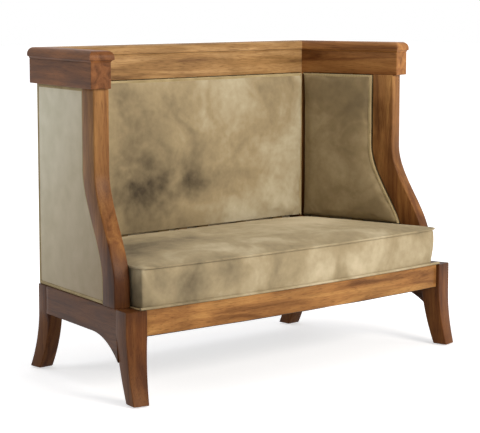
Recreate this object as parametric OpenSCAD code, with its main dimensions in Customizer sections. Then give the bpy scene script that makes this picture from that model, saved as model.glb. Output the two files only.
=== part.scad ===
// High back settee: a show-wood frame with deep top rails on three sides, sides that open out towards
// the front, swept uprights and curved legs, and tight upholstery over webbing and coil springs.
// Millimetres, +Z up, the front faces -Y. Left is -X, as seen from the front.
// The origin lies on the floor in the middle of the settee.

/* [Overall] */
// Height from the floor to the top of the cornice
total_h = 1120; // [1040:5:1220]
// Width over the side rails at the front
front_w = 1550; // [1400:10:1900]
// Width over the side rails at the back
back_w = 1270; // [1150:10:1380]
// Depth of the frame from the front plane to the back plane
frame_d = 655; // [620:5:720]
// How far the front swells forward in its middle
front_bow = 30; // [10:1:40]

/* [Seat rails] */
// Height of the top edge of the seat rails
rail_top = 304; // [290:1:330]
// Height of the front and rear rails
front_rail_h = 83; // [72:1:95]
// Height of the side rails
side_rail_h = 97; // [85:1:110]
// Thickness of the seat rails
rail_t = 42; // [34:1:48]
// Drop of the arch that carries a side rail into its front leg
arch_drop = 75; // [50:1:90]
// Length of that arch along the side rail
arch_run = 185; // [140:1:220]

/* [Legs] */
// Thickness of a front leg at the rails
leg_w = 76; // [70:1:82]
// Thickness of every foot at the floor
foot_w = 56; // [46:1:56]
// Width of a rear post
post_w = 58; // [56:1:64]
// Depth of a rear post
post_d = 62; // [58:1:68]
// How far a front foot kicks forward
front_kick = 30; // [20:1:60]
// How far a rear foot kicks back
rear_kick = 55; // [30:1:70]
// Diameter of a glide
glide_d = 24; // [18:1:30]
// Height of a glide below its foot
glide_h = 5; // [3:1:8]
// Diameter of the pin that holds a glide
glide_pin_d = 5; // [4:1:7]
// Length of that pin in the foot
glide_pin_l = 16; // [10:1:24]

/* [Front uprights] */
// Width of an upright across its front face
upright_w = 56; // [50:1:62]
// Depth of an upright
upright_d = 88; // [76:1:100]
// Setback of its front face from the front plane, at the top
top_set = 218; // [190:1:250]
// Setback of its front face at the foot
foot_set = 80; // [66:1:120]
// Distance from the top rail down to where the sweep forward starts
sweep_drop = 264; // [190:2:320]
// Distance from the seat rails up to where the sweep ends
sweep_rise = 71; // [36:1:110]

/* [Top rails and cornice] */
// Height of the flat top rails
frieze_h = 84; // [70:1:100]
// Height of the cornice moulding above them
cap_h = 38; // [30:1:46]
// How far the top rails stand out from the uprights and the outside panels
frieze_out = 16; // [8:1:18]
// Overhang of the cornice beyond the top rails, outside and in front
cap_over = 6; // [3:1:10]
// Overhang of the cornice inside
cap_inner = 10; // [6:1:14]
// Height of the hollow under the cornice's lip
cove_h = 8; // [5:1:11]
// Height of that lip
lip_h = 7; // [4:1:9]
// How far the rounded top of the cornice draws back from the lip
cap_draw = 18; // [10:1:22]

/* [Upholstery] */
// Height of the edge of the seat pad
seat_edge = 440; // [420:1:456]
// Rise of the seat pad above its edge
seat_crown = 28; // [18:1:40]
// Thickness of the inside pads at their edges
pad_edge_t = 28; // [22:1:32]
// Extra thickness of the inside pads in their middle
pad_crown = 15; // [8:1:20]
// Gap in height between the seat pad's top edge and the foot of the inside pads
pad_lift = 3; // [2:1:12]
// Space between neighbouring covers
cover_gap = 1; // [0.5:0.5:2]
// Thickness of the covered outside panels
panel_t = 6; // [4:1:8]
// Depth of the outside side panels below the show wood
panel_recess = 5; // [3:1:8]
// Thickness of the burlap sheet and of the dust cover
sheet_t = 2; // [1:0.5:3]
// Diameter of the welt cord along the front rail
welt_d = 9; // [6:1:12]

/* [Springs and webbing] */
// Width of a webbing strap
strap_w = 52; // [44:1:60]
// Thickness of a webbing strap
strap_t = 2.5; // [2:0.5:4]
// Number of springs in each of the two rows, an even number
springs_across = 4; // [2:2:6]
// Mean diameter of a spring
spring_d = 84; // [70:1:96]
// Diameter of the spring wire
wire_d = 4; // [3:0.5:5]
// Turns of a spring
spring_turns = 4; // [3:1:5]
// Straps up the back, an even number
back_straps = 6; // [4:2:8]
// Straps up each side
side_straps = 2; // [2:1:3]

/* [Inner frame] */
// Thickness of the inner rails that the covers are tacked to
tack_rail_t = 22; // [18:1:26]
// Height of those rails
tack_rail_h = 50; // [40:1:60]
// Distance from the seat rails up to their lower edges
tack_rail_rise = 66; // [50:1:80]
// Width of the middle upright in the back and of the seat brace
brace_w = 40; // [30:1:50]
// Height of the seat brace
brace_h = 60; // [45:1:64]
// Leg length of a corner block along each rail
block_leg = 82; // [75:1:95]
// Height of a corner block
block_h = 50; // [40:1:60]
// Diameter of a dowel
dowel_d = 10; // [8:1:12]
// Length of a dowel
dowel_l = 56; // [44:1:60]
// Diameter of a corner block screw
screw_d = 5; // [4:0.5:6]
// Length of that screw under its head
screw_l = 50; // [40:1:56]
// Diameter of its head
screw_head_d = 10; // [8:0.5:12]
// Height of its head
screw_head_h = 3; // [2:0.5:4]

/* [Hidden] */
$fn = 64;

// Overrun of every cut
eps = 1;
// Steps along a swept or curved edge
curve_steps = 30;
leg_steps = 12;
bow_steps = 24;

// Angle by which each side opens out
taper = atan((front_w - back_w) / 2 / frame_d);
// The feet reach further back than forward, so the frame stands ahead of the middle
front_reach = front_kick * cos(taper) + (leg_w + foot_w) / 2 * sin(taper);
front_y = -frame_d / 2 + (front_reach - rear_kick) / 2;
back_y = front_y + frame_d;
// Radius and centre of the swelled front
bow_r = (front_w * front_w / 4 + front_bow * front_bow) / (2 * front_bow);
bow_y = front_y - front_bow + bow_r;

knee_z = rail_top - front_rail_h;
side_low = rail_top - side_rail_h;
arch_z = side_low - arch_drop;
frieze_z = total_h - cap_h - frieze_h;
cap_z = total_h - cap_h;
cap_out = frieze_out + cap_over;
sweep_top = frieze_z - sweep_drop;
sweep_low = rail_top + sweep_rise;
tack_rail_z = rail_top + tack_rail_rise;
// Depth of the frame behind the outside panels, and of the webbing and the pads behind that
skin = panel_recess + panel_t;
web_in = skin + tack_rail_t;
pad_in = web_in + 2 * strap_t;
pad_z = seat_edge + pad_lift;
burlap_z = rail_top;
seat_z = burlap_z + sheet_t;
seat_inset = upright_w + cover_gap;
strap_z = knee_z - strap_t;
// Full reach of a cut beyond the settee
reach = front_w;

// Places shared by several pieces

// A point in plan: depth inside a side's outer face, and distance from the front plane along that side
function side_pt(s, inset, u) = [
    s * (front_w / 2 - u * sin(taper) - inset * cos(taper)),
    front_y + u * cos(taper) - inset * sin(taper)
];
// A point in plan where a depth inside a side meets a depth inside the back
function corner_pt(s, inset, back) = [
    s * (back_w / 2 + back * tan(taper) - inset / cos(taper)),
    back_y - back
];
// Half the width in plan, at one y, inside a depth from the side's outer face
function half_at(inset, y) = back_w / 2 + (back_y - y) * tan(taper) - inset / cos(taper);
// The swelled front in plan, at one x and one depth behind the rail's face
function bow_at(x, inset) = bow_y - sqrt(pow(bow_r - inset, 2) - x * x);

// Sweep of the uprights: 0 at the top, 1 at the foot
function sweep_k(z) = max(0, min(1, (sweep_top - z) / (sweep_top - sweep_low)));
function sweep(z) = pow(sweep_k(z), 2) * (3 - 2 * sweep_k(z));
function edge_u(z) = top_set - (top_set - foot_set) * sweep(z);
// Curve of the legs: 0 at the knee, 1 at the glide
function leg_k(z) = (knee_z - z) / (knee_z - glide_h);
function leg_front(z) = -front_kick * pow(max(0, leg_k(z)), 2);
function leg_depth(z) = leg_w - (leg_w - foot_w) * max(0, leg_k(z));
function leg_rear(z) = leg_front(z) + leg_depth(z);
function leg_z(i) = knee_z - (knee_z - glide_h) * i / leg_steps;

// Frames and slabs

// Draws its children in a side's own frame: -X inwards from the outer face, +Y back along the side
module on_side(s) {
    mirror([s < 0 ? 1 : 0, 0, 0])
        translate([front_w / 2, front_y, 0])
            rotate([0, 0, taper])
                children();
}

// Turns an outline in side view into a slab between two depths inside the outer face
module side_slab(from, to) {
    translate([-to, 0, 0])
        rotate([90, 0, 90])
            linear_extrude(to - from)
                children();
}

// Keeps what lies in front of a depth inside the back
module ahead_of(back) {
    intersection() {
        children();
        translate([-reach, back_y - back - 2 * reach, 0])
            cube([2 * reach, 2 * reach, 2 * total_h]);
    }
}

// Keeps what lies under and behind the inner faces of the two front legs, in plan
module between_legs() {
    intersection() {
        children();
        polygon([
            side_pt(-1, leg_w, -leg_w), side_pt(1, leg_w, -leg_w),
            side_pt(1, leg_w, 3 * leg_w), side_pt(-1, leg_w, 3 * leg_w)
        ]);
    }
}

// Everything in plan that lies more than a depth behind the front rail's face
module behind_bow(inset) {
    polygon(concat(
        [for (i = [0:bow_steps]) let (x = front_w * (i / bow_steps - 0.5)) [x, bow_at(x, inset)]],
        [[front_w / 2, back_y + reach], [-front_w / 2, back_y + reach]]
    ));
}

// Dowels and screws, drawn once: as pieces and as the bores that take them

module dowel(p, dir) {
    translate(p)
        rotate(dir)
            translate([0, 0, -dowel_l / 2])
                cylinder(h = dowel_l, d = dowel_d);
}

// Front leg and rear post to side rail, upright to side rail and to top rail, in a side's frame
module side_dowels() {
    joint_x = -rail_t / 2;
    // The uprights' first dowels stand clear of the legs' own
    foot_first = max(foot_set + upright_d / 4, leg_w + dowel_l / 2 + dowel_d);
    for (u = [foot_first, foot_set + upright_d * 0.8])
        dowel([joint_x, u, rail_top], [0, 0, 0]);
    for (k = [-1, 1]) {
        z = rail_top - front_rail_h / 2 + k * front_rail_h / 4;
        dowel([joint_x, leg_w, z], [90, 0, 0]);
        dowel([joint_x, (frame_d - post_d) / cos(taper), z], [90, 0, 0]);
        dowel([-upright_w / 2, top_set + upright_d / 2 + k * upright_d / 4, frieze_z], [0, 0, 0]);
    }
}

// Front leg to front rail, rear post to rear rail, post to top rail and to the inner back rail
module cross_dowels(s) {
    front_p = side_pt(s, leg_w, rail_t * 0.62);
    back_x = s * (back_w / 2 - post_w);
    post_p = corner_pt(s, upright_w / 2, upright_w / 2);
    for (k = [-1, 1]) {
        z = rail_top - front_rail_h / 2 + k * front_rail_h / 4;
        dowel([front_p[0], front_p[1], z], [0, 90, 0]);
        dowel([back_x, back_y - rail_t / 2, z], [0, 90, 0]);
    }
    dowel([back_x, back_y - skin - tack_rail_t / 2, tack_rail_z + tack_rail_h / 2], [0, 90, 0]);
    dowel([post_p[0], post_p[1], frieze_z], [0, 0, 0]);
}

module all_dowels() {
    for (s = [-1, 1]) {
        on_side(s) side_dowels();
        cross_dowels(s);
    }
}

// The middles of the screws in plan, one into each rail from every corner block, with their directions
block_z = rail_top - brace_h;
screw_z = block_z + block_h * 0.3;
screw_share = 0.6;
screw_mid = rail_t - screw_share * screw_l + screw_l / 2;
function out_angle(s) = s > 0 ? taper : 180 - taper;
function front_screw_x(s) = side_pt(s, leg_w + block_leg / 4, rail_t)[0];
block_screw_list = [
    for (s = [-1, 1])
        each [
            [side_pt(s, screw_mid, leg_w + block_leg / 5), out_angle(s)],
            [[front_screw_x(s), bow_at(front_screw_x(s), screw_mid)], -90],
            [corner_pt(s, screw_mid, post_d + block_leg / 5), out_angle(s)],
            [[s * (back_w / 2 - post_w - block_leg / 4), back_y - screw_mid], 90]
        ]
];

// One screw lying level, with its head, or with the bore that the head goes in through
module block_screw(p, head_room) {
    translate([p[0][0], p[0][1], screw_z])
        rotate([0, 90, p[1]]) {
            translate([0, 0, -screw_l / 2])
                cylinder(h = screw_l, d = screw_d);
            translate([0, 0, -screw_l / 2 - head_room])
                cylinder(h = head_room, d = screw_head_d);
        }
}

module all_block_screws(head_room) {
    for (p = block_screw_list)
        block_screw(p, head_room);
}

// Outlines

// A front leg seen from the side, with the rail joint above the knee
module leg_side() {
    polygon(concat(
        [[0, rail_top]],
        [for (i = [0:leg_steps]) [leg_front(leg_z(i)), leg_z(i)]],
        [for (i = [leg_steps:-1:0]) [leg_rear(leg_z(i)), leg_z(i)]],
        [[leg_w, rail_top]]
    ));
}

// A leg seen from the front: straight at the rails, then tapered on both faces
module leg_face(w) {
    draw = (w - foot_w) / 2;
    polygon([
        [0, rail_top], [-w, rail_top], [-w, knee_z],
        [-w + draw, glide_h], [-draw, glide_h], [0, knee_z]
    ]);
}

// A side rail seen from the side, with the arch that runs down to the front leg
module side_rail_side() {
    arch_r = (pow(arch_run, 2) + pow(arch_drop, 2)) / (2 * arch_drop);
    arch_u = leg_rear(arch_z) + arch_run;
    difference() {
        union() {
            translate([0, side_low])
                square([2 * frame_d, side_rail_h]);
            translate([0, arch_z])
                square([arch_u, arch_drop + eps]);
        }
        translate([arch_u, side_low - arch_r])
            circle(r = arch_r, $fn = 4 * $fn);
        leg_side();
    }
}

// Everything behind a swept line that lies a given depth behind the uprights' front faces
module behind_sweep(depth, z0, z1) {
    zs = concat(
        [z0],
        [for (i = [0:curve_steps]) sweep_low + (sweep_top - sweep_low) * i / curve_steps],
        [z1]
    );
    polygon(concat(
        [for (z = zs) [edge_u(z) + depth, z]],
        [[2 * frame_d, z1], [2 * frame_d, z0]]
    ));
}

module upright_side() {
    difference() {
        behind_sweep(0, rail_top, frieze_z);
        behind_sweep(upright_d, rail_top - eps, frieze_z + eps);
    }
}

// Show wood

module wood()
    color([0.52, 0.31, 0.16])
        children();

module front_rail() {
    wood()
        difference() {
            translate([0, 0, knee_z])
                linear_extrude(front_rail_h)
                    between_legs()
                        difference() {
                            behind_bow(0);
                            behind_bow(rail_t);
                        }
            all_dowels();
            all_block_screws(eps);
        }
}

module rear_rail() {
    wood()
        difference() {
            translate([-back_w / 2 + post_w, back_y - rail_t, knee_z])
                cube([back_w - 2 * post_w, rail_t, front_rail_h]);
            all_dowels();
            all_block_screws(eps);
        }
}

module side_rail(s) {
    wood()
        difference() {
            ahead_of(post_d)
                on_side(s)
                    side_slab(0, rail_t)
                        side_rail_side();
            all_dowels();
            all_block_screws(eps);
        }
}

module front_leg(s) {
    wood()
        difference() {
            on_side(s)
                intersection() {
                    side_slab(0, leg_w)
                        leg_side();
                    translate([0, leg_w + eps, 0])
                        rotate([90, 0, 0])
                            linear_extrude(leg_w + front_kick + 2 * eps)
                                leg_face(leg_w);
                }
            all_dowels();
            all_glide_pins();
        }
}

// A rear leg seen from the side, in the settee's own frame
module rear_leg_side() {
    polygon(concat(
        [[back_y, rail_top]],
        [for (i = [0:leg_steps]) [back_y + rear_kick * pow(leg_k(leg_z(i)), 2), leg_z(i)]],
        [
            for (i = [leg_steps:-1:0])
                [back_y + rear_kick * pow(leg_k(leg_z(i)), 2) - post_d + (post_d - foot_w) * leg_k(leg_z(i)), leg_z(i)]
        ],
        [[back_y - post_d, rail_top]]
    ));
}

// The post in plan: its outer face follows the side, at a depth inside the two outer planes
module post_plan(s, inset, back) {
    inner_x = s * (back_w / 2 - post_w);
    polygon([
        corner_pt(s, inset, back), corner_pt(s, inset, post_d),
        [inner_x, back_y - post_d], [inner_x, back_y - back]
    ]);
}

module rear_post(s) {
    draw = (post_w - foot_w) / 2;
    wood()
        difference() {
            union() {
                translate([0, 0, rail_top])
                    linear_extrude(frieze_z - rail_top)
                        post_plan(s, skin, panel_t);
                translate([0, 0, knee_z])
                    linear_extrude(rail_top - knee_z)
                        post_plan(s, 0, 0);
                intersection() {
                    translate([s * back_w / 2 - reach, 0, 0])
                        rotate([90, 0, 90])
                            linear_extrude(2 * reach)
                                rear_leg_side();
                    mirror([s < 0 ? 1 : 0, 0, 0])
                        translate([back_w / 2, back_y + rear_kick + eps, 0])
                            rotate([90, 0, 0])
                                linear_extrude(post_d + rear_kick + 2 * eps)
                                    polygon([
                                        [0, knee_z], [-post_w, knee_z],
                                        [-post_w + draw, glide_h], [-draw, glide_h]
                                    ]);
                }
            }
            all_dowels();
            all_glide_pins();
        }
}

module front_upright(s) {
    wood()
        difference() {
            on_side(s)
                side_slab(0, upright_w)
                    upright_side();
            all_dowels();
        }
}

// The flat top rails, mitred at the rear corners

module top_rail_back() {
    wood()
        difference() {
            translate([0, 0, frieze_z])
                linear_extrude(frieze_h)
                    polygon([
                        corner_pt(-1, -frieze_out, -frieze_out), corner_pt(1, -frieze_out, -frieze_out),
                        corner_pt(1, upright_w, upright_w), corner_pt(-1, upright_w, upright_w)
                    ]);
            all_dowels();
        }
}

module top_rail_side(s) {
    end_u = top_set - frieze_out;
    wood()
        difference() {
            translate([0, 0, frieze_z])
                linear_extrude(frieze_h)
                    polygon([
                        corner_pt(s, -frieze_out, -frieze_out), corner_pt(s, upright_w, upright_w),
                        side_pt(s, upright_w, end_u), side_pt(s, -frieze_out, end_u)
                    ]);
            all_dowels();
        }
}

// The cornice: a small hollow, a lip, and a rounded top that draws back from the lip

cap_steps = 8;
// One edge of the cornice in section, upwards: distances out from the face below it, with heights
function cap_edge(out) = concat(
    [[0, 0]],
    [for (i = [0:cap_steps]) let (a = 90 * i / cap_steps) [out * (1 - cos(a)), cove_h * sin(a)]],
    [
        for (i = [0:cap_steps])
            let (a = 90 * i / cap_steps)
                [out - cap_draw * (1 - cos(a)), cove_h + lip_h + (cap_h - cove_h - lip_h) * sin(a)]
    ]
);

// The whole section: -X inwards from the upright's outer face, +Y upwards
module cap_section() {
    outer = [for (p = cap_edge(cap_over)) [frieze_out + p[0], p[1]]];
    inner = [for (p = cap_edge(cap_inner)) [-upright_w - p[0], p[1]]];
    polygon(concat(outer, [for (i = [len(inner) - 1:-1:0]) inner[i]]));
}

// A long straight run of the cornice along +Y, centred, with its outer side towards +X
module cap_run() {
    translate([0, reach, cap_z])
        rotate([90, 0, 0])
            linear_extrude(2 * reach)
                cap_section();
}

// The front end of a side's cornice: all that lies behind the outer moulding turned across the end
module cap_end() {
    translate([-reach, top_set, cap_z])
        rotate([90, 0, 90])
            linear_extrude(2 * reach)
                polygon(concat(
                    [for (p = cap_edge(cap_over)) [-frieze_out - p[0], p[1]]],
                    [[reach, cap_h], [reach, 0]]
                ));
}

// The mitres in plan, from well outside each rear corner to well inside it
module back_mitre()
    polygon([
        corner_pt(-1, -2 * cap_out, -2 * cap_out), corner_pt(1, -2 * cap_out, -2 * cap_out),
        corner_pt(1, 2 * upright_w, 2 * upright_w), corner_pt(-1, 2 * upright_w, 2 * upright_w)
    ]);

module side_mitre(s)
    polygon([
        corner_pt(s, -2 * cap_out, -2 * cap_out), corner_pt(s, 2 * upright_w, 2 * upright_w),
        side_pt(s, 2 * upright_w, 0), side_pt(s, -2 * cap_out, 0)
    ]);

module cornice_back() {
    wood()
        intersection() {
            translate([0, back_y, 0])
                rotate([0, 0, 90])
                    cap_run();
            translate([0, 0, cap_z])
                linear_extrude(cap_h)
                    back_mitre();
        }
}

module cornice_side(s) {
    wood()
        intersection() {
            on_side(s) cap_run();
            on_side(s) cap_end();
            translate([0, 0, cap_z])
                linear_extrude(cap_h)
                    side_mitre(s);
        }
}

// Inner frame

module inner_wood()
    color([0.78, 0.64, 0.44])
        children();

module tack_rail_back() {
    inner_wood()
        difference() {
            translate([-back_w / 2 + post_w, back_y - web_in, tack_rail_z])
                cube([back_w - 2 * post_w, tack_rail_t, tack_rail_h]);
            all_dowels();
        }
}

module tack_rail_side(s) {
    inner_wood()
        ahead_of(post_d)
            on_side(s)
                side_slab(skin, web_in)
                    intersection() {
                        behind_sweep(upright_d, rail_top, frieze_z);
                        translate([0, tack_rail_z])
                            square([2 * frame_d, tack_rail_h]);
                    }
}

module back_upright() {
    z = tack_rail_z + tack_rail_h;
    inner_wood()
        translate([-brace_w / 2, back_y - web_in, z])
            cube([brace_w, tack_rail_t, frieze_z - z]);
}

module seat_brace() {
    inner_wood()
        translate([0, 0, rail_top - brace_h])
            linear_extrude(brace_h)
                intersection() {
                    translate([-brace_w / 2, front_y - front_bow])
                        square([brace_w, frame_d + front_bow - rail_t]);
                    behind_bow(rail_t);
                }
}

// One corner block in plan, fitted round the leg or post: the corner of the two rails, cut across
module block_plan_front(s) {
    difference() {
        intersection() {
            polygon([
                side_pt(s, rail_t, 0), side_pt(s, rail_t, leg_w + block_leg),
                side_pt(s, leg_w + block_leg, 0)
            ]);
            behind_bow(rail_t);
        }
        polygon([
            side_pt(s, -eps, -leg_w), side_pt(s, leg_w, -leg_w), side_pt(s, leg_w, leg_w), side_pt(s, -eps, leg_w)
        ]);
    }
}

module block_plan_back(s) {
    inner_x = s * (back_w / 2 - post_w);
    difference() {
        polygon([
            corner_pt(s, rail_t, rail_t), corner_pt(s, rail_t, post_d + block_leg),
            [inner_x - s * block_leg, back_y - rail_t]
        ]);
        polygon([
            corner_pt(s, -eps, -eps), corner_pt(s, -eps, post_d),
            [inner_x, back_y - post_d], [inner_x, back_y + eps]
        ]);
    }
}

module corner_blocks() {
    inner_wood()
        difference() {
            translate([0, 0, block_z])
                linear_extrude(block_h)
                    for (s = [-1, 1]) {
                        block_plan_front(s);
                        block_plan_back(s);
                    }
            all_block_screws(block_leg);
        }
}

module corner_screws()
    color([0.62, 0.6, 0.55])
        all_block_screws(screw_head_h);

module frame_dowels()
    color([0.8, 0.68, 0.48])
        all_dowels();

// Glides

foot_mid = foot_w / 2;
// Middle of a front foot in a side's frame, and of a rear foot in plan
front_foot = [-leg_w / 2, foot_mid - front_kick];
function rear_foot(s) = [s * (back_w - post_w) / 2, back_y + rear_kick - foot_mid];

module glide(z0, z1, d)
    translate([0, 0, z0])
        cylinder(h = z1 - z0, d = d);

module at_feet() {
    for (s = [-1, 1]) {
        on_side(s)
            translate(front_foot)
                children();
        translate(rear_foot(s))
            children();
    }
}

module all_glide_pins()
    at_feet()
        glide(glide_h - eps, glide_h + glide_pin_l, glide_pin_d);

module glides()
    color([0.35, 0.33, 0.3])
        at_feet() {
            glide(0, glide_h, glide_d);
            glide(0, glide_h + glide_pin_l, glide_pin_d);
        }

// Webbing and springs

spring_pitch = (back_w - 2 * post_w) / (springs_across + 1);
function spring_x(i) = (i - (springs_across - 1) / 2) * spring_pitch;
inner_front = front_y + rail_t;
inner_back = back_y - rail_t;
function row_y(j) = inner_front + (inner_back - inner_front) * (j + 1) / 3;

// Front to back straps under the rails, and side to side straps on top of them
module seat_webbing() {
    color([0.62, 0.5, 0.34]) {
        translate([0, 0, strap_z])
            linear_extrude(strap_t)
                for (i = [0:springs_across - 1])
                    intersection() {
                        translate([spring_x(i) - strap_w / 2, front_y - front_bow])
                            square([strap_w, frame_d + front_bow - rail_t / 3]);
                        behind_bow(rail_t / 3);
                    }
        translate([0, 0, knee_z])
            linear_extrude(strap_t)
                for (j = [0, 1])
                    intersection() {
                        translate([-reach, row_y(j) - strap_w / 2])
                            square([2 * reach, strap_w]);
                        polygon([
                            side_pt(-1, rail_t, 0), side_pt(1, rail_t, 0),
                            corner_pt(1, rail_t, 0), corner_pt(-1, rail_t, 0)
                        ]);
                    }
    }
}

// Coils between the webbing and the burlap
module seat_springs() {
    z0 = knee_z + strap_t;
    color([0.7, 0.7, 0.72])
        for (i = [0:springs_across - 1])
            for (j = [0, 1])
                translate([spring_x(i), row_y(j), z0])
                    linear_extrude(burlap_z - z0, twist = -360 * spring_turns, slices = 8 * spring_turns, $fn = 6)
                        translate([spring_d / 2, 0])
                            circle(d = wire_d, $fn = 6);
}

// The seat in plan between the uprights, a depth behind the rail's face and inside the back
module seat_plan(inset, front, back) {
    intersection() {
        behind_bow(front);
        polygon([
            side_pt(-1, inset, -leg_w), side_pt(1, inset, -leg_w),
            corner_pt(1, inset, back), corner_pt(-1, inset, back)
        ]);
    }
}

module seat_burlap()
    color([0.72, 0.6, 0.42])
        translate([0, 0, burlap_z])
            linear_extrude(sheet_t)
                seat_plan(seat_inset, rail_t / 2, post_d + cover_gap);

module dust_cover()
    color([0.16, 0.15, 0.14])
        translate([0, 0, strap_z - sheet_t])
            linear_extrude(sheet_t)
                intersection() {
                    seat_plan(rail_t + cover_gap, rail_t / 4, rail_t / 4);
                    between_supports();
                }

// In plan, the space that neither the front legs nor the rear posts fill
module between_supports() {
    post_in = back_w / 2 - post_w - cover_gap;
    polygon([
        side_pt(-1, leg_w + cover_gap, -leg_w), side_pt(1, leg_w + cover_gap, -leg_w),
        side_pt(1, leg_w + cover_gap, leg_w + cover_gap), side_pt(1, rail_t + cover_gap, leg_w + cover_gap),
        corner_pt(1, rail_t + cover_gap, post_d + cover_gap), [post_in, back_y - post_d - cover_gap],
        [post_in, back_y], [-post_in, back_y],
        [-post_in, back_y - post_d - cover_gap], corner_pt(-1, rail_t + cover_gap, post_d + cover_gap),
        side_pt(-1, rail_t + cover_gap, leg_w + cover_gap), side_pt(-1, leg_w + cover_gap, leg_w + cover_gap)
    ]);
}

// Straps up the back and up the sides, from the inner rail to the top rail, and one along them
module back_webbing() {
    pitch = (back_w - 2 * post_w) / back_straps;
    color([0.62, 0.5, 0.34]) {
        for (i = [0:back_straps - 1])
            translate([(i - (back_straps - 1) / 2) * pitch - strap_w / 2, back_y - web_in - strap_t, tack_rail_z])
                cube([strap_w, strap_t, frieze_z - tack_rail_z]);
        translate([-back_w / 2 + post_w, back_y - pad_in, (pad_z + frieze_z - strap_w) / 2])
            cube([back_w - 2 * post_w, strap_t, strap_w]);
    }
}

module side_webbing(s) {
    u0 = top_set + upright_d;
    u1 = (frame_d - post_d) / cos(taper);
    pitch = (u1 - u0) / side_straps;
    color([0.62, 0.5, 0.34])
        on_side(s) {
            for (i = [0:side_straps - 1])
                side_slab(web_in, web_in + strap_t)
                    translate([u0 + (i + 0.5) * pitch - strap_w / 2, tack_rail_z])
                        square([strap_w, frieze_z - tack_rail_z]);
            side_slab(web_in + strap_t, pad_in)
                translate([u0, (pad_z + frieze_z - strap_w) / 2])
                    square([u1 - u0, strap_w]);
        }
}

// Soft forms: a grid over the face of a pad, closed by rings down its sides and a flat back

// Fullness of a pad, 0 along its edges and 1 in its middle
function full(s, t, p) = (1 - pow(abs(s), p)) * (1 - pow(abs(t), p));

// Closes a face given as a function of s and t, both -1 to 1, onto rings that run round it.
// ring(s, t, k) is ring k, where 0 lies just below the face and the last one bounds the flat back.
module soft_solid(nu, nv, rings, face, ring) {
    at = function(i, j) [2 * i / nu - 1, 2 * j / nv - 1];
    loop = concat(
        [for (i = [0:nu - 1]) at(i, 0)],
        [for (j = [0:nv - 1]) at(nu, j)],
        [for (i = [nu:-1:1]) at(i, nv)],
        [for (j = [nv:-1:1]) at(0, j)]
    );
    rim = concat(
        [for (i = [0:nu - 1]) i],
        [for (j = [0:nv - 1]) j * (nu + 1) + nu],
        [for (i = [nu:-1:1]) nv * (nu + 1) + i],
        [for (j = [nv:-1:1]) j * (nu + 1)]
    );
    n = len(loop);
    base = (nu + 1) * (nv + 1);
    points = concat(
        [for (j = [0:nv]) for (i = [0:nu]) face(at(i, j)[0], at(i, j)[1])],
        [for (k = [0:rings - 1]) for (p = loop) ring(p[0], p[1], k)],
        [ring(0, 0, rings - 1)]
    );
    ring_id = function(k, m) base + k * n + m % n;
    faces = concat(
        [
            for (j = [0:nv - 1]) for (i = [0:nu - 1])
                let (a = j * (nu + 1) + i)
                    each [[a, a + nu + 1, a + nu + 2], [a, a + nu + 2, a + 1]]
        ],
        [
            for (m = [0:n - 1])
                each [
                    [rim[m], rim[(m + 1) % n], ring_id(0, m + 1)],
                    [rim[m], ring_id(0, m + 1), ring_id(0, m)]
                ]
        ],
        [
            for (k = [0:rings - 2]) for (m = [0:n - 1])
                each [
                    [ring_id(k, m), ring_id(k, m + 1), ring_id(k + 1, m + 1)],
                    [ring_id(k, m), ring_id(k + 1, m + 1), ring_id(k + 1, m)]
                ]
        ],
        [for (m = [0:n - 1]) [ring_id(rings - 1, m), ring_id(rings - 1, m + 1), len(points) - 1]]
    );
    polyhedron(points, faces, convexity = 6);
}

module cover()
    color([0.66, 0.59, 0.45])
        children();

// Seat pad: trapezoid in plan with a swelled front, upright sides that bulge and are drawn in
seat_h = seat_edge - seat_z;
seat_bulge = seat_h * 0.07;
seat_tuck = welt_d + cover_gap;
seat_back_y = back_y - post_d - cover_gap;
// Rings down its side: the rolled edge, the bulge, the draw in, and the tuck behind the welt
seat_rings = [
    [seat_bulge / 2, seat_z + seat_h * 0.93],
    [0, seat_z + seat_h * 0.6],
    [seat_bulge / 3, seat_z + seat_h * 0.3],
    [seat_tuck, rail_top + welt_d + cover_gap],
    [seat_tuck, seat_z]
];

// A point inside the pad's outline, which is drawn in by a depth all round
function seat_at(s, t, inset) =
    let (
        y1 = seat_back_y - inset,
        y0 = bow_at(s * half_at(seat_inset, front_y), cover_gap + inset),
        y = y0 + (y1 - y0) * (t + 1) / 2
    )
        [s * half_at(seat_inset + inset, y), y];

module seat_pad() {
    face = function(s, t)
        let (p = seat_at(s, t, seat_bulge * 1.6))
            [p[0], p[1], seat_edge + seat_crown * full(s, t, 4)];
    ring = function(s, t, k)
        let (p = seat_at(s, t, seat_rings[k][0]))
            [p[0], p[1], seat_rings[k][1]];
    cover()
        soft_solid(30, 12, len(seat_rings), face, ring);
}

// A cord of eight sides along the top of the front rail, lying on one of its flats
module seat_welt() {
    sides = 8;
    half = half_at(seat_inset, front_y);
    r = welt_d / 2;
    mid_z = rail_top + r * cos(180 / sides);
    points = [
        for (i = [0:bow_steps])
            let (x = half * (2 * i / bow_steps - 1))
                for (j = [0:sides - 1])
                    let (a = 360 * (j + 0.5) / sides)
                        [x, bow_at(x, r - r * cos(a)), mid_z + r * sin(a)]
    ];
    tube = [
        for (i = [0:bow_steps - 1]) for (j = [0:sides - 1])
            let (a = i * sides + j, b = i * sides + (j + 1) % sides)
                each [[a, a + sides, b + sides], [a, b + sides, b]]
    ];
    ends = [
        [for (j = [0:sides - 1]) j],
        [for (j = [sides - 1:-1:0]) bow_steps * sides + j]
    ];
    color([0.56, 0.49, 0.36])
        polyhedron(points, concat(tube, ends), convexity = 4);
}

// Inside pads, fuller towards the seat

pad_top = frieze_z - cover_gap;
function pad_height(t) = pad_z + (pad_top - pad_z) * (t + 1) / 2;
function pad_thick(s, t) = pad_edge_t + pad_crown * full(s, t, 4) * (1 - 0.2 * t);
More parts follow.
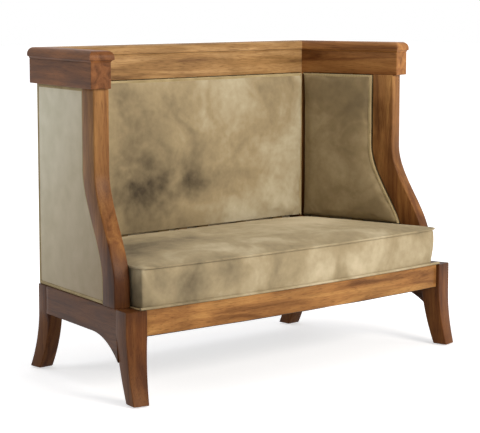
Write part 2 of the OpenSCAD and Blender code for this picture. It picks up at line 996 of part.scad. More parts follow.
// Depth of each ring round a pad, as a share of the rolled edge, and its thickness
pad_roll = pad_edge_t * 0.35;
roll_share = [0.45, 0, 0];
ring_share = [0.9, 0.62, 0];

// The back pad fills the space between the rear posts
module back_pad() {
    place = function(s, t, inset, thick)
        let (
            z = pad_height(t) - sign(t) * (abs(t) == 1 ? inset : inset * abs(t)),
            half = back_w / 2 - post_w - cover_gap - inset
        )
            [s * half, back_y - pad_in - thick, z];
    cover()
        soft_solid(26, 12, 3,
            function(s, t) place(s, t, pad_roll, pad_thick(s, t)),
            function(s, t, k) place(s, t, pad_roll * roll_share[k], pad_edge_t * ring_share[k]));
}

// A side pad runs from the back frame, at a = -1, to the upright's swept rear face
module side_pad(s) {
    u1 = (frame_d - post_d - cover_gap + pad_in * sin(taper)) / cos(taper);
    place = function(a, t, inset, thick)
        let (
            z = pad_height(t) - t * inset,
            u0 = edge_u(z) + upright_d + cover_gap + inset,
            u = u0 + (u1 - inset - u0) * (1 - a) / 2
        )
            [-pad_in - thick, u, z];
    cover()
        on_side(s)
            soft_solid(16, 18, 3,
                function(a, t) place(a, t, pad_roll, pad_thick(a, t)),
                function(a, t, k) place(a, t, pad_roll * roll_share[k], pad_edge_t * ring_share[k]));
}

// Covered outside panels

module outside_cover()
    color([0.72, 0.71, 0.62])
        children();

module outside_side(s) {
    outside_cover()
        ahead_of(0)
            on_side(s)
                side_slab(panel_recess, skin)
                    behind_sweep(upright_d, rail_top, frieze_z);
}

module outside_back() {
    outside_cover()
        translate([0, 0, rail_top])
            linear_extrude(frieze_z - rail_top)
                polygon([
                    corner_pt(-1, skin, 0), corner_pt(1, skin, 0),
                    corner_pt(1, skin, panel_t), corner_pt(-1, skin, panel_t)
                ]);
}

// Each piece is drawn when all or its own node is asked for
front_rail();
rear_rail();
side_rail(-1);  // side_rail_left
side_rail(1);  // side_rail_right
front_leg(-1);  // front_leg_left
front_leg(1);  // front_leg_right
rear_post(-1);  // rear_post_left
rear_post(1);  // rear_post_right
front_upright(-1);  // front_upright_left
front_upright(1);  // front_upright_right
top_rail_back();
top_rail_side(-1);  // top_rail_left
top_rail_side(1);  // top_rail_right
cornice_back();
cornice_side(-1);  // cornice_left
cornice_side(1);  // cornice_right
tack_rail_back();
tack_rail_side(-1);  // tack_rail_left
tack_rail_side(1);  // tack_rail_right
back_upright();
seat_brace();
corner_blocks();
corner_screws();
frame_dowels();
glides();
seat_webbing();
seat_springs();
seat_burlap();
dust_cover();
seat_pad();
seat_welt();
back_webbing();
side_webbing(-1);  // side_webbing_left
side_webbing(1);  // side_webbing_right
back_pad();
side_pad(-1);  // side_pad_left
side_pad(1);  // side_pad_right
outside_back();
outside_side(-1);  // outside_left
outside_side(1);  // outside_right
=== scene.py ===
import math

import bmesh
import bpy
import numpy as np
from mathutils import Matrix, Vector, noise


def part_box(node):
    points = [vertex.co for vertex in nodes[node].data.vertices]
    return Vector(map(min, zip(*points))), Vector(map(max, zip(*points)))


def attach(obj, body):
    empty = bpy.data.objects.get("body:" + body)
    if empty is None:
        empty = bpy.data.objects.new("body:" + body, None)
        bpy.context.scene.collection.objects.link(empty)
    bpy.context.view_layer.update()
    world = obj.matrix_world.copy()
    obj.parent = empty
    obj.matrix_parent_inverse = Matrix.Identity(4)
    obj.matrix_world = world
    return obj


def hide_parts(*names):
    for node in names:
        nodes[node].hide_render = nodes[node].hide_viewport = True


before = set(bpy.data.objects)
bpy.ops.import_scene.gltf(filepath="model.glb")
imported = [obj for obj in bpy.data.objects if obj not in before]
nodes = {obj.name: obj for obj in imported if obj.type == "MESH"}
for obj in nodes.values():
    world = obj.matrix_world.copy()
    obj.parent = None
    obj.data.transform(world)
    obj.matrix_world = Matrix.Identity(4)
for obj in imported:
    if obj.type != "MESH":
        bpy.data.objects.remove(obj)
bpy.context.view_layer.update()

# ---- Photographer's camera ----
# A long lens about six metres from the settee's front left corner, a little above its top, tipped
# slightly down.
sensor_mm, lens_mm = 36, 132.07
camera_place = (-4.2099, -4.5840, 1.308)
camera_yaw, camera_pitch = math.radians(42.70), math.radians(7.284)


def linked(name, data):
    """Makes an object of some data and puts it in the scene."""
    made = bpy.data.objects.new(name, data)
    bpy.context.scene.collection.objects.link(made)
    return made


camera_data = bpy.data.cameras.new("photo_camera")
camera_data.sensor_width, camera_data.lens = sensor_mm, lens_mm
camera = linked("photo_camera", camera_data)
forward = Vector((math.sin(camera_yaw) * math.cos(camera_pitch),
                  math.cos(camera_yaw) * math.cos(camera_pitch), -math.sin(camera_pitch)))
rightward = Vector((math.cos(camera_yaw), -math.sin(camera_yaw), 0))
camera.matrix_world = Matrix.Translation(camera_place) @ Matrix(
    (rightward, rightward.cross(forward), -forward)).transposed().to_4x4()
bpy.context.scene.camera = camera

# ---- Show wood: waxed mahogany ----
# The legs, rails, uprights, top rails and cornice are mahogany, sawn, planed and waxed. The wax leaves
# a warm red-brown with a low gloss over a straight, fine grain.


def linear(code):
    """A colour written in sRGB hex, as linear red, green, blue and alpha."""
    channels = [int(code[i:i + 2], 16) / 255 for i in (1, 3, 5)]
    return (*[c / 12.92 if c <= 0.04045 else ((c + 0.055) / 1.055) ** 2.4 for c in channels], 1)


def add(material, kind, settings=None, **values):
    """Adds a node, sets its properties, and sets or links its inputs by name or by place (i0, i1)."""
    made = material.node_tree.nodes.new("ShaderNode" + kind)
    for key, value in (settings or {}).items():
        setattr(made, key, value)
    for key, value in values.items():
        place = key[1:].isdigit() and key[0] == "i"
        socket = made.inputs[int(key[1:]) if place else key.replace("_", " ")]
        if isinstance(value, bpy.types.NodeSocket):
            material.node_tree.links.new(value, socket)
        else:
            socket.default_value = value
    return made


def ramp(made, *stops):
    """Sets a colour ramp's stops, each a place and a colour."""
    elements = made.color_ramp.elements
    while len(elements) > 2:
        elements.remove(elements[-1])
    while len(elements) < len(stops):
        elements.new(0.5)
    for element, (place, colour) in zip(elements, stops):
        element.position, element.color = place, colour
    return made


def new_material(name):
    material = bpy.data.materials.new(name)
    material.use_nodes = True
    material.node_tree.nodes.clear()
    return material


def finish_with(material, shader):
    add(material, "OutputMaterial", Surface=shader.outputs[0])
    return material


def mahogany(name, along, dark, middle, light, shaded_foot=False):
    """Waxed mahogany with its grain along a direction. Growth bands are 12 mm apart, pores 1 mm. An
    upright piece can take painted shade at its foot, darkest just above the seat rails, less below."""
    material = new_material(name)
    place = add(material, "TexCoord").outputs["Object"]
    turn = Vector(along).to_track_quat("X", "Z").to_euler()
    lined = add(material, "Mapping", {"vector_type": "TEXTURE"}, Vector=place, Rotation=turn).outputs[0]
    bands_at = add(material, "Mapping", Vector=lined, Scale=(2.2, 26, 26)).outputs[0]
    bands = add(material, "TexNoise", Vector=bands_at, Scale=1.0, Detail=5, Roughness=0.6, Distortion=0.8)
    figure_at = add(material, "Mapping", Vector=lined, Scale=(3, 7, 7)).outputs[0]
    figure = add(material, "TexNoise", Vector=figure_at, Scale=1.0, Detail=3, Distortion=1.2)
    pores_at = add(material, "Mapping", Vector=lined, Scale=(28, 620, 620)).outputs[0]
    pores = add(material, "TexNoise", Vector=pores_at, Scale=1.0, Detail=2)
    tone = ramp(add(material, "ValToRGB", Fac=bands.outputs["Fac"]),
                (0.30, linear(dark)), (0.48, linear(middle)), (0.70, linear(light)))
    shade = ramp(add(material, "ValToRGB", Fac=figure.outputs["Fac"]),
                 (0.32, (0.76, 0.72, 0.68, 1)), (0.68, (1.12, 1.1, 1.08, 1)))
    dots = ramp(add(material, "ValToRGB", Fac=pores.outputs["Fac"]),
                (0.34, (0.55, 0.5, 0.46, 1)), (0.46, (1, 1, 1, 1)))
    colour = tone.outputs[0]
    for share, layer in ((1.0, shade), (0.8, dots)):
        colour = add(material, "Mix", {"data_type": "RGBA", "blend_type": "MULTIPLY"}, i0=share,
                     i6=colour, i7=layer.outputs[0]).outputs[2]
    # Painted shade at the foot: darkest in a band just above the seat rails, where the seat pad's end
    # shades the uprights, and less dark down the legs.
    if shaded_foot:
        height = add(material, "SeparateXYZ", Vector=place).outputs["Z"]
        wavy = add(material, "Math", {"operation": "MULTIPLY_ADD"}, i0=figure.outputs["Fac"], i1=0.12,
                   i2=height)
        foot_shade = ramp(add(material, "ValToRGB", Fac=wavy.outputs[0]),
                       (0.30, (0.52, 0.40, 0.32, 1)), (0.38, (0.26, 0.18, 0.12, 1)),
                       (0.46, (0.30, 0.21, 0.15, 1)), (0.58, (0.72, 0.62, 0.54, 1)), (0.86, (1, 1, 1, 1)))
        colour = add(material, "Mix", {"data_type": "RGBA", "blend_type": "MULTIPLY"}, i0=1.0,
                     i6=colour, i7=foot_shade.outputs[0]).outputs[2]
    rough = add(material, "MapRange", Value=figure.outputs["Fac"], To_Min=0.34, To_Max=0.48)
    bump = add(material, "Bump", Strength=0.12, Distance=0.0006, Height=pores.outputs["Fac"])
    return finish_with(material, add(
        material, "BsdfPrincipled", Base_Color=colour, Roughness=rough.outputs[0], IOR=1.5,
        Specular_IOR_Level=0.1, Normal=bump.outputs[0]))


# Sizes of the frame, in metres: half widths at the front and back planes, the side's angle, and the
# heights where its parts meet
half_front, half_back = 0.775, 0.635
rail_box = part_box("rear_rail")
back_y = rail_box[1].y
front_y = back_y - 0.655
taper = math.atan((half_front - half_back) / (back_y - front_y))
rail_top, frieze_z, knee_z, glide_top = 0.304, 0.998, 0.221, 0.005
side_word = {-1: "left", 1: "right"}
side_grain = {s: (s * -math.sin(taper), math.cos(taper), 0) for s in (-1, 1)}
wood_x = mahogany("waxed_mahogany_rails", (1, 0, 0), "#65401f", "#93673a", "#b38850")
# The uprights, posts and front legs take painted shade low down, darkest just above the seat rails.
wood_z = mahogany("waxed_mahogany_uprights", (0, 0, 1), "#5d3a1f", "#875d35", "#a67b49", shaded_foot=True)
# A lighter, paler tone for the back top rail and cornice: a painted sheen, for the light they catch.
sheen_wood_top = mahogany("mahogany_back_top_painted_sheen", (1, 0, 0), "#6f5133", "#9b784d", "#ba976a")
# The left top rail and cornice take a darker tone than the right's: painted shade, for the side turned away
# from the light.
wood_side_light_and_shade = {-1: mahogany("mahogany_left_top_painted_shade", side_grain[-1], "#4a2b15", "#704627", "#915f37"),
             1: mahogany("waxed_mahogany_right_top", side_grain[1], "#6b4020", "#98673a", "#b6844e")}
# The side rails take a much darker tone: painted shade, for rails low under the seat and out of the light.
shaded_side_rail_wood = {s: mahogany("mahogany_side_rail_painted_shade_" + side_word[s], side_grain[s],
                        "#38200f", "#57341b", "#70482a") for s in (-1, 1)}


def side_point(s, inset, u, z):
    """A point inset from a side's outer face, and u behind the front plane along that side."""
    return Vector((s * (half_front - u * math.sin(taper) - inset * math.cos(taper)),
                   front_y + u * math.cos(taper) - inset * math.sin(taper), z))


def corner_point(s, inset, back, z):
    """A point inset from a side's outer face, and some way inside the back plane."""
    return Vector((s * (half_back + back * math.tan(taper) - inset / math.cos(taper)), back_y - back, z))


def half_width(inset, y):
    """Half of the settee's width at a depth, less an inset from each side's outer face."""
    return half_back + (back_y - y) * math.tan(taper) - inset / math.cos(taper)


def rounded(corners, radius, steps=3):
    """A closed loop through the corners, each one eased by a radius."""
    loop = []
    for i, corner in enumerate(corners):
        before, after = corners[i - 1] - corner, corners[(i + 1) % len(corners)] - corner
        a = corner + before.normalized() * min(radius, before.length * 0.45)
        b = corner + after.normalized() * min(radius, after.length * 0.45)
        for k in range(steps + 1):
            t = k / steps
            loop.append(a * (1 - t) ** 2 + corner * 2 * t * (1 - t) + b * t ** 2)
    return loop


def eased_ends(loops, ease):
    """Adds a small chamfer at both ends of a run of loops."""
    first, last = loops[0], loops[-1]
    out = []
    for end, nearby in ((first, loops[1]), (last, loops[-2])):
        middle = sum(end, Vector()) / len(end)
        out.append(([p + (middle - p).normalized() * ease for p in end],
                    [p + (q - p).normalized() * ease for p, q in zip(end, nearby)]))
    return [out[0][0], out[0][1], *loops[1:-1], out[1][1], out[1][0]]


def shown(name, bm, material, angle=32):
    """Makes a smooth-shaded object of a bmesh, with its normals outwards and hard edges kept."""
    bmesh.ops.remove_doubles(bm, verts=bm.verts, dist=1e-5)
    bmesh.ops.recalc_face_normals(bm, faces=bm.faces)
    mesh = bpy.data.meshes.new(name)
    bm.to_mesh(mesh)
    bm.free()
    mesh.shade_smooth()
    mesh.set_sharp_from_angle(angle=math.radians(angle))
    mesh.materials.append(material)
    return linked(name, mesh)


def skin_loops(bm, loops):
    """Joins loops of equal length with quads, and closes both ends."""
    rings = [[bm.verts.new(p) for p in loop] for loop in loops]
    for one, two in zip(rings, rings[1:]):
        for i in range(len(one)):
            j = (i + 1) % len(one)
            bm.faces.new((one[i], one[j], two[j], two[i]))
    bm.faces.new(rings[0])
    bm.faces.new(rings[-1][::-1])


def wooden(name, material, *runs, ease=0.0015):
    """One piece of wood, made of one or more runs of loops. It stands for the CAD node of its name."""
    bm = bmesh.new()
    for loops in runs:
        skin_loops(bm, eased_ends(loops, ease) if ease else loops)
    made = shown(name + "_polished", bm, material)
    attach(made, "root")
    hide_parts(name)


# ---- Front legs ----
# Each is one mahogany block at the seat rails, which tapers and curves forward below them into a
# square sabre foot. The rails are dowelled into its inner and rear faces.
front_kick, leg_w, foot_w, block_ease = 0.030, 0.076, 0.056, 0.004


def curve_share(z):
    """How far down a leg's curve a height is: 0 at its start and 1 at the glide."""
    return max(0.0, (knee_z - z) / (knee_z - glide_top))


def leg_rear(z):
    """How far behind the front plane a front leg's rear face is."""
    k = curve_share(z)
    return -front_kick * k * k + leg_w - (leg_w - foot_w) * k


leg_heights = [glide_top + (knee_z - glide_top) * i / 18 for i in range(19)]
for s in (-1, 1):
    loops = []
    for z in [*leg_heights, rail_top]:
        k = curve_share(z)
        draw = (leg_w - foot_w) / 2 * k
        front = -front_kick * k * k
        loops.append(rounded([side_point(s, inset, u, z) for inset, u in (
            (draw, front), (leg_w - draw, front), (leg_w - draw, leg_rear(z)), (draw, leg_rear(z)))],
            block_ease))
    wooden("front_leg_" + side_word[s], wood_z, loops)

# ---- Rear posts and legs ----
# A rear post runs from the floor to the top rail in one piece: a sabre leg that curves back, a block
# at the seat rails, and a plain post that the covers hide.
rear_kick, post_w, post_d = 0.055, 0.058, 0.062
cover_depth, panel_thick = 0.011, 0.006
for s in (-1, 1):
    leg = []
    for z in [*leg_heights, rail_top]:
        k = curve_share(z)
        draw, flare = (post_w - foot_w) / 2 * k, post_d * math.tan(taper) * max(0.0, 1 - 5 * k)
        rear = back_y + rear_kick * k * k
        fore = rear - post_d + (post_d - foot_w) * k
        leg.append(rounded([Vector((s * (half_back - draw), rear, z)),
                            Vector((s * (half_back - draw + flare), fore, z)),
                            Vector((s * (half_back - post_w + draw), fore, z)),
                            Vector((s * (half_back - post_w + draw), rear, z))], block_ease))
    post = [[corner_point(s, cover_depth, panel_thick, z), corner_point(s, cover_depth, post_d, z),
             Vector((s * (half_back - post_w), back_y - post_d, z)),
             Vector((s * (half_back - post_w), back_y - panel_thick, z))] for z in (rail_top, frieze_z)]
    wooden("rear_post_" + side_word[s], wood_z, leg, post)

# ---- Front uprights ----
# Sawn from a thick plank and swept forward in an S from the top rail to the side rail, with its
# edges eased. Its grain runs straight up.
upright_w, upright_d, top_set, foot_set = 0.056, 0.088, 0.218, 0.080
sweep_low, sweep_top, cap_z, upright_ease = 0.375, 0.734, 1.082, 0.006


def sweep_edge(z):
    """How far behind the front plane an upright's front edge is at a height."""
    k = max(0.0, min(1.0, (sweep_top - z) / (sweep_top - sweep_low)))
    return top_set - (top_set - foot_set) * k * k * (3 - 2 * k)


sweep_heights = [rail_top, 0.340, *[sweep_low + (sweep_top - sweep_low) * i / 36 for i in range(37)],
                 0.87, frieze_z]
for s in (-1, 1):
    wooden("front_upright_" + side_word[s], wood_z, [
        rounded([side_point(s, 0, sweep_edge(z), z), side_point(s, upright_w, sweep_edge(z), z),
                 side_point(s, upright_w, sweep_edge(z) + upright_d, z),
                 side_point(s, 0, sweep_edge(z) + upright_d, z)], upright_ease) for z in sweep_heights])

# ---- Seat rails ----
# Four mahogany rails join the legs. The front one swells forward in its middle, and each side rail
# has an arch sawn into its lower edge that runs down into the front leg.
front_bow, rail_thick, side_low, arch_drop, arch_run = 0.030, 0.042, 0.207, 0.075, 0.185
bow_r = (half_front ** 2 + front_bow ** 2) / (2 * front_bow)


def bow_y(x, inset):
    """The swelled front at a place across the settee, some way behind the rail's face."""
    return front_y - front_bow + bow_r - math.sqrt((bow_r - inset) ** 2 - x * x)


def bowed_section(k, z0, z1, front, back, inset):
    """Four corners of a section through something that follows the swelled front, at a share k."""
    xf, xb = (k * half_width(inset, front_y + d) for d in (front, back))
    return [Vector((xf, bow_y(xf, front), z0)), Vector((xf, bow_y(xf, front), z1)),
            Vector((xb, bow_y(xb, back), z1)), Vector((xb, bow_y(xb, back), z0))]


wooden("front_rail", wood_x, [
    rounded(bowed_section(i / 24 - 1, knee_z, rail_top, 0, rail_thick, leg_w), block_ease)
    for i in range(49)])
wooden("rear_rail", wood_x, [
    rounded([Vector((x, back_y - rail_thick, knee_z)), Vector((x, back_y - rail_thick, rail_top)),
             Vector((x, back_y, rail_top)), Vector((x, back_y, knee_z))], block_ease)
    for x in (-half_back + post_w, half_back - post_w)])
arch_z = side_low - arch_drop
arch_r = (arch_run ** 2 + arch_drop ** 2) / (2 * arch_drop)
arch_end = leg_rear(arch_z) + arch_run
rear_u = (back_y - front_y - post_d) / math.cos(taper)
rail_set, rail_steps, crowding = 0.0003, 40, 1.5
for s in (-1, 1):
    loops = []
    for i in range(rail_steps + 1):
        k = i / rail_steps
        low_u = leg_rear(arch_z) + (rear_u - leg_rear(arch_z)) * k ** crowding
        top_u = leg_w + (rear_u - leg_w) * k ** crowding
        drop = arch_end - low_u
        low = side_low if drop < 0 else side_low - arch_r + math.sqrt(arch_r ** 2 - drop ** 2)
        loops.append(rounded([
            side_point(s, rail_set, low_u, low), side_point(s, rail_set, top_u, rail_top),
            side_point(s, rail_thick, top_u, rail_top), side_point(s, rail_thick, low_u, low)], block_ease))
    wooden("side_rail_" + side_word[s], shaded_side_rail_wood[s], loops)

# ---- Top rails ----
# Flat boards on edge along the back and both sides, mitred at the rear corners. They rest on the
# uprights and the posts, stand out 16 mm from them, and carry the cornice.
frieze_out, frieze_ease = 0.016, 0.003
frieze_section = ((-frieze_out, frieze_z), (-frieze_out, cap_z), (upright_w, cap_z), (upright_w, frieze_z))
mitres = {s: rounded([corner_point(s, inset, inset, z) for inset, z in frieze_section], frieze_ease)
          for s in (-1, 1)}
wooden("top_rail_back", sheen_wood_top, [mitres[-1], mitres[1]])
for s in (-1, 1):
    front_end = rounded([side_point(s, inset, top_set - frieze_out, z) for inset, z in frieze_section],
                        frieze_ease)
    wooden("top_rail_" + side_word[s], wood_side_light_and_shade[s], [mitres[s], front_end])

# ---- Cornice ----
# One moulding run along the back and both sides and returned across the two front ends: a hollow, a
# thin lip, and a top that rounds back from the lip. It is mitred at each corner and glued on.
cap_h, cove_h, lip_h, cap_draw = 0.038, 0.008, 0.007, 0.018
cap_over, cap_inner = 0.006, 0.010


def moulded(overhang):
    """One edge of the moulding, upwards: how far it stands out, and its height."""
    turns = [math.pi / 2 * i / 10 for i in range(11)]
    hollow = [(overhang * (1 - math.cos(a)), cove_h * math.sin(a)) for a in turns]
    return hollow + [(overhang - cap_draw * (1 - math.cos(a)),
                      cove_h + lip_h + (cap_h - cove_h - lip_h) * math.sin(a)) for a in turns]


levels = [(frieze_out + out, upright_w + within, cap_z + z)
          for (out, z), (within, _) in zip(moulded(cap_over), moulded(cap_inner))]
wooden("cornice_back", sheen_wood_top, [
    [corner_point(-1, -out, -out, z), corner_point(1, -out, -out, z),
     corner_point(1, within, within, z), corner_point(-1, within, within, z)]
    for out, within, z in levels], ease=0)
for s in (-1, 1):
    wooden("cornice_" + side_word[s], wood_side_light_and_shade[s], [
        [corner_point(s, -out, -out, z), corner_point(s, within, within, z),
         side_point(s, within, top_set - out, z), side_point(s, -out, top_set - out, z)]
        for out, within, z in levels], ease=0)

# ---- Hidden frame ----
# Planed beech for the tack rails, the back upright, the seat brace, the corner blocks and the
# dowels. It is left bare, pale and dull, because covers hide it.
beech = new_material("planed_beech")
beech_place = add(beech, "TexCoord").outputs["Object"]
beech_at = add(beech, "Mapping", Vector=beech_place, Scale=(3, 30, 30)).outputs[0]
beech_grain = add(beech, "TexNoise", Vector=beech_at, Scale=1.0, Detail=5, Distortion=0.6)
beech_tone = ramp(add(beech, "ValToRGB", Fac=beech_grain.outputs["Fac"]),
                  (0.3, linear("#b08a5e")), (0.7, linear("#cfae82")))
finish_with(beech, add(beech, "BsdfPrincipled", Base_Color=beech_tone.outputs[0], Roughness=0.62))


def dress(name, material):
    """Gives a CAD node that is shown as it is its material."""
    nodes[name].data.materials.clear()
    nodes[name].data.materials.append(material)


for name in ("tack_rail_back", "tack_rail_left", "tack_rail_right", "back_upright", "seat_brace",
             "corner_blocks", "frame_dowels"):
    dress(name, beech)

# ---- Screws, springs and glides ----
# Drawn and turned steel: countersunk screws in the corner blocks, coil springs of 4 mm wire, and
# domed glides pinned under the feet.


def steel(name, colour, roughness):
    material = new_material(name)
    place = add(material, "TexCoord").outputs["Object"]
    streaks = add(material, "TexNoise", Vector=place, Scale=90.0, Detail=3)
    rough = add(material, "MapRange", Value=streaks.outputs["Fac"], To_Min=roughness - 0.07,
                To_Max=roughness + 0.1)
    return finish_with(material, add(material, "BsdfPrincipled", Base_Color=linear(colour), Metallic=1.0,
                                     Roughness=rough.outputs[0]))


for name, material in (("corner_screws", steel("turned_steel_screws", "#b4b2ae", 0.35)),
                       ("seat_springs", steel("drawn_spring_wire", "#9c958a", 0.42)),
                       ("glides", steel("nickelled_steel_glides", "#c9c6c0", 0.26))):
    dress(name, material)

# ---- Webbing and hessian ----
# Woven jute: straps tacked across the seat, the back and the sides, and one coarse hessian sheet over
# the springs. Threads are drawn 2 mm apart, coarse enough to show.


def woven(name, dark, light, pitch, roughness=0.9, painted_shade_ramp=()):
    """A plain weave with a thread spacing in metres, which follows each face from its own sides.
    An optional ramp of painted shade darkens the cloth low down and towards the front."""
    material = new_material(name)
    place = add(material, "TexCoord").outputs["Object"]
    weave = None
    for axis in "XYZ":
        wave = add(material, "TexWave", {"wave_type": "BANDS", "bands_direction": axis}, Vector=place,
                   Scale=math.pi / (10 * pitch), Distortion=0.6, Detail=1.0)
        wave.inputs["Detail Scale"].default_value = 4
        weave = wave.outputs["Fac"] if weave is None else add(
            material, "Math", {"operation": "MULTIPLY"}, i0=weave, i1=wave.outputs["Fac"]).outputs[0]
    cloud = add(material, "TexNoise", Vector=place, Scale=14.0, Detail=4)
    mixed = add(material, "Math", {"operation": "ADD"}, i0=weave, i1=cloud.outputs["Fac"])
    tone = ramp(add(material, "ValToRGB", Fac=mixed.outputs[0]),
                (0.35, linear(dark)), (0.85, linear(light)))
    colour = tone.outputs[0]
    # Painted shade: darker low down and towards the front, where less light reaches.
    if painted_shade_ramp:
        height = add(material, "VectorMath", {"operation": "DOT_PRODUCT"}, i0=place,
                     i1=(0, 0.9, 0.8)).outputs["Value"]
        shade_tone = ramp(add(material, "ValToRGB", Fac=height), *painted_shade_ramp)
        colour = add(material, "Mix", {"data_type": "RGBA", "blend_type": "MULTIPLY"}, i0=1.0,
                     i6=colour, i7=shade_tone.outputs[0]).outputs[2]
    bump = add(material, "Bump", Strength=0.4, Distance=0.0006, Height=weave)
    return finish_with(material, add(material, "BsdfPrincipled", Base_Color=colour,
                                     Roughness=roughness, Normal=bump.outputs[0]))


jute = woven("jute_webbing", "#8a7048", "#b89a68", 0.002)
hessian = woven("jute_hessian", "#86704c", "#ab9064", 0.002)
for name in ("seat_webbing", "back_webbing", "side_webbing_left", "side_webbing_right", "seat_burlap"):
    dress(name, hessian if name == "seat_burlap" else jute)

# ---- Dust cover ----
# One sheet of thin black cotton, tacked up below the front and back rails. It stops short of the side
# rails and sags a little in its middle.
black_cotton = woven("black_cotton_cambric", "#141414", "#232323", 0.0012)
cover_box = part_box("dust_cover")
cover_thick, cover_gap, cover_sag, cover_ripple = 0.0008, 0.0003, 0.007, 0.0012
cover_front, cover_side, cover_reach = 0.012, 0.052, 0.70
cols, rows = 48, 24


def grid_rim(cols, rows):
    """The places round the edge of a grid, in order."""
    return ([(i, 0) for i in range(cols)] + [(cols, j) for j in range(rows)]
            + [(i, rows) for i in range(cols, 0, -1)] + [(0, j) for j in range(rows, 0, -1)])


bm = bmesh.new()
grid = {}
for side in (0, 1):
    for i in range(cols + 1):
        for j in range(rows + 1):
            s, t = 2 * i / cols - 1, j / rows
            y0 = bow_y(s * cover_reach, cover_front)
            y = y0 + (cover_box[1].y - y0) * t
            x = s * half_width(cover_side, y)
            sag = cover_sag * (1 - s ** 4) * (1 - (2 * t - 1) ** 4)
            sag += cover_ripple * noise.noise(Vector((x * 7, y * 7, 3)))
            grid[side, i, j] = bm.verts.new((x, y, cover_box[1].z - cover_gap - sag - cover_thick * side))
for side in (0, 1):
    for i in range(cols):
        for j in range(rows):
            bm.faces.new([grid[side, a, b] for a, b in ((i, j), (i + 1, j), (i + 1, j + 1), (i, j + 1))])
rim = grid_rim(cols, rows)
for a, b in zip(rim, rim[1:] + rim[:1]):
    bm.faces.new((grid[(0, *a)], grid[(0, *b)], grid[(1, *b)], grid[(1, *a)]))
cover_area = sum(f.calc_area() for f in bm.faces) / 2
dust_sheet = shown("dust_cover_sheet", bm, black_cotton)
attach(dust_sheet, "root")
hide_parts("dust_cover")

# ---- Seat pad ----
# Horsehair and wadding over the springs, in a cotton velvet cover with a soft crown, a rolled front
# edge and a border that is drawn in above the rail. Painted light and shade lie over it in patches.


def velvet(name, dark, middle, light, painted_shading=()):
    """Cotton velvet, woven and cut. Clouds 60 to 200 mm wide show how the pile lies, and each painted
    mark is (centre, radii, strength): darker, or lighter where the strength is negative. Most are
    painted shade and painted light, put where light and shade fall."""
    material = new_material(name)
    place = add(material, "TexCoord").outputs["Object"]
    broad = add(material, "TexNoise", Vector=place, Scale=5.0, Detail=3, Roughness=0.55, Distortion=0.9)
    fine = add(material, "TexNoise", Vector=place, Scale=34.0, Detail=4, Roughness=0.6)
    pile = add(material, "TexNoise", Vector=place, Scale=900.0, Detail=2)
    lean = add(material, "Math", {"operation": "MULTIPLY_ADD"}, i0=fine.outputs["Fac"], i1=0.35,
               i2=broad.outputs["Fac"]).outputs[0]
    # Painted shade and light: each patch darkens or lightens the colour where it lies.
    for centre, radii, strength in painted_shading:
        near = add(material, "Mapping", {"vector_type": "TEXTURE"}, Vector=place, Location=centre,
                   Scale=radii).outputs[0]
        wavy = add(material, "TexNoise", Vector=place, Scale=11.0, Detail=3)
        far = add(material, "VectorMath", {"operation": "LENGTH"}, i0=near).outputs["Value"]
        edge = add(material, "Math", {"operation": "MULTIPLY_ADD"}, i0=wavy.outputs["Fac"], i1=0.9,
                   i2=far).outputs[0]
        mark = add(material, "MapRange", {"interpolation_type": "SMOOTHSTEP"}, Value=edge, From_Min=0.25,
                   From_Max=1.75, To_Min=-strength, To_Max=0.0).outputs[0]
        lean = add(material, "Math", {"operation": "ADD"}, i0=lean, i1=mark).outputs[0]
    tone = ramp(add(material, "ValToRGB", Fac=lean),
                (0.0, linear(dark)), (0.62, linear(middle)), (1.0, linear(light)))
    bump = add(material, "Bump", Strength=0.25, Distance=0.0008, Height=pile.outputs["Fac"])
    return finish_with(material, add(
        material, "BsdfPrincipled", Base_Color=tone.outputs[0], Roughness=0.85, Sheen_Weight=0.35,
        Sheen_Roughness=0.35, Sheen_Tint=linear("#d8c8a4"), Normal=bump.outputs[0]))


# Painted shade on the left end in its niche beside the upright, over the rear left of the top under the
# left side, along the left of the front and at the right front corner; painted light over the rear right of
# the top and along the right of the front.
seat_velvet = velvet("cotton_velvet_seat", "#3a2e1a", "#968768", "#bdb093", painted_shading=[
    ((-0.735, -0.27, 0.37), (0.045, 0.09, 0.07), 0.9), ((-0.50, -0.08, 0.46), (0.34, 0.18, 0.1), 0.75),
    ((-0.52, -0.37, 0.37), (0.34, 0.06, 0.12), 0.42), ((0.62, -0.32, 0.46), (0.14, 0.07, 0.05), 0.45),
    ((0.42, 0.02, 0.46), (0.3, 0.16, 0.1), -0.45), ((0.40, -0.37, 0.34), (0.5, 0.05, 0.12), -0.2)])
pad_inset, seat_edge, seat_base, seat_crown, pad_gap = 0.057, 0.440, 0.306, 0.028, 0.001
seat_back = back_y - post_d - pad_gap


